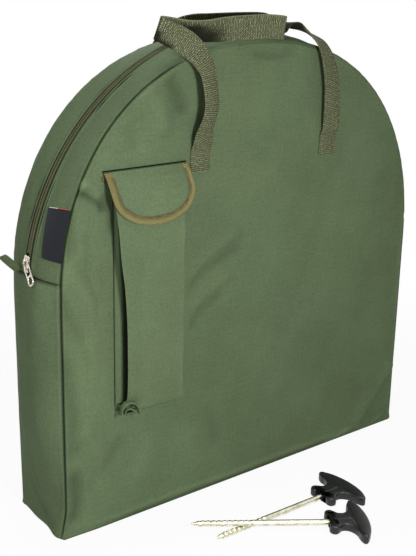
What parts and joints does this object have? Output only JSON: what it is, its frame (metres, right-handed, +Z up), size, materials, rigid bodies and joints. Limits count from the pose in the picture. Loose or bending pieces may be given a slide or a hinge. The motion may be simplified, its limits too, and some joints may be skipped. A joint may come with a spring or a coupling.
{
  "type": "golf chipping net in carry bag",
  "caption": "Pop-up chipping net folded inside a zipped D-shaped carry bag with webbing handles, a flapped pocket and screw-in ground pegs.",
  "frame": {"origin": "middle of the bag's flat base, on the ground", "axes": "+X along the bag's width to the viewer's right, -Y out of the pocket side, +Z up"},
  "size_m": [0.6573, 0.367, 0.6365],
  "materials": {
    "canvas": "matt woven canvas",
    "webbing": "ribbed webbing",
    "zip_tape": "woven tape",
    "zip_teeth": "moulded coil",
    "nickel": "bright nickel plate",
    "label": "woven satin",
    "binding_dark": "bias tape",
    "binding": "khaki grosgrain",
    "spring_steel": "drawn wire",
    "sleeve": "black ripstop",
    "netting": "knotted net",
    "zinc": "yellow passivated zinc",
    "grip_plastic": "moulded, fine texture"
  },
  "bodies": {
    "bag": {"front_panel": "canvas", "rear_panel_lower": "canvas", "base_panel": "canvas", "side_gusset_left": "canvas", "side_gusset_right": "canvas", "zip_gusset_front": "canvas", "zip_tape_front": "zip_tape", "zip_teeth_front": "zip_teeth", "zip_stops": "nickel", "zip_end_patches": "canvas", "zip_end_tab": "webbing", "side_label": "label", "front_seam_tape": "binding_dark", "rear_seam_tape_lower": "binding_dark", "front_handle_ends": "webbing", "peg_pocket": "canvas", "pocket_hem": "binding", "pocket_loop_patch": "label", "flap_strip": "binding", "hoop_wire": "spring_steel", "hoop_sleeve": "sleeve", "netting_bundle": "netting", "net_strap": "sleeve"},
    "rear_leaf": {"rear_panel_upper": "canvas", "zip_gusset_rear": "canvas", "zip_tape_rear": "zip_tape", "zip_teeth_rear": "zip_teeth", "rear_seam_tape_upper": "binding_dark", "rear_handle_ends": "webbing"},
    "front_handle": {"front_handle": "webbing"},
    "rear_handle": {"rear_handle": "webbing"},
    "pocket_flap": {"pocket_flap": "canvas", "flap_binding": "binding", "flap_hook_patch": "label"},
    "zip_slider": {"zip_slider": "nickel"},
    "zip_pull": {"zip_pull": "nickel"},
    "peg_a": {"peg_a_shank": "zinc", "peg_a_grip": "grip_plastic"},
    "peg_b": {"peg_b_shank": "zinc", "peg_b_grip": "grip_plastic"}
  },
  "joints": [
    {"name": "rear_leaf_fold", "type": "hinge", "parent": "bag", "child": "rear_leaf", "pos_m": [0, 0.0565, 0.33547], "axis": [-1, 0, 0], "range_deg": [0, 55]},
    {"name": "front_handle_fold", "type": "hinge", "parent": "bag", "child": "front_handle", "pos_m": [0, -0.061, 0.476], "axis": [1, 0, 0], "range_deg": [0, 140]},
    {"name": "rear_handle_fold", "type": "hinge", "parent": "rear_leaf", "child": "rear_handle", "pos_m": [0, 0.061, 0.476], "axis": [-1, 0, 0], "range_deg": [0, 140]},
    {"name": "pocket_flap_fold", "type": "hinge", "parent": "bag", "child": "pocket_flap", "pos_m": [0, -0.059, 0.4602], "axis": [-1, 0, 0], "range_deg": [0, 130]},
    {"name": "zip_travel", "type": "hinge", "parent": "bag", "child": "zip_slider", "pos_m": [0, 0, 0.3], "axis": [0, 1, 0], "range_deg": [0, 160.9]},
    {"name": "zip_pull_swing", "type": "hinge", "parent": "zip_slider", "child": "zip_pull", "pos_m": [-0.31381, 0, 0.3527], "axis": [-0.115, 0.7193, -0.6851], "range_deg": [0, 150]},
    {"name": "peg_a_lift", "type": "slide", "parent": "bag", "child": "peg_a", "axis": [0, 0, 1], "range_m": [0, 0.12]},
    {"name": "peg_b_draw", "type": "slide", "parent": "bag", "child": "peg_b", "axis": [0.9993, -0.0366, 0], "range_m": [0, 0.08]}
  ]
}
